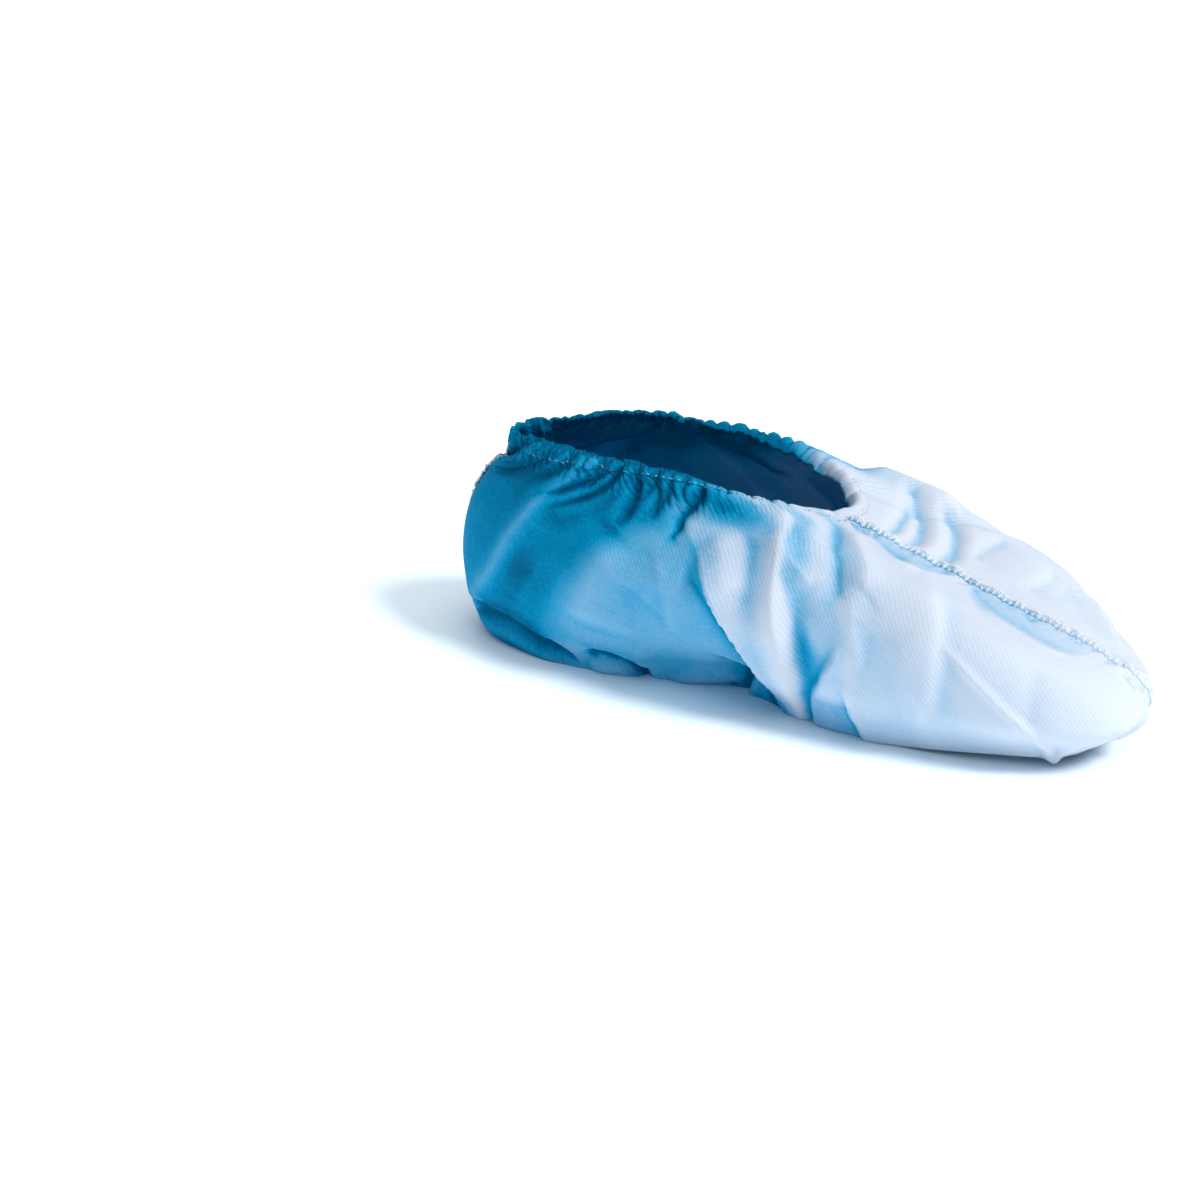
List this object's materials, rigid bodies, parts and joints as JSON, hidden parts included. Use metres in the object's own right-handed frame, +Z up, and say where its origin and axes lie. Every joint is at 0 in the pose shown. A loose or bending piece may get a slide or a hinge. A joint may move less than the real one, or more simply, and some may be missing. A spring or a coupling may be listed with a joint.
{
  "type": "anti-slip shoe cover",
  "caption": "Disposable nonwoven overshoe in its worn form, with gathered elastic opening, stitched front seam and ribbed grip sole.",
  "frame": {"origin": "inside of the sole, where the middle of the wearer's shoe stands", "axes": "+X to the toe, +Z up, -Y to the inner side of a left foot"},
  "size_m": [0.3356, 0.1166, 0.1058],
  "materials": {
    "nonwoven": "matte light blue nonwoven with fine diagonal ribs",
    "gathered_hem": "gathered light blue hem over elastic",
    "seam_thread": "white overlock thread over cut cloth edge",
    "grip_coating": "matte off-white anti-slip coating"
  },
  "bodies": {
    "root": {"cover_shell": "nonwoven", "elastic_rim": "gathered_hem", "front_seam": "seam_thread", "heel_seam": "seam_thread", "grip_sole": "grip_coating"}
  },
  "joints": []
}
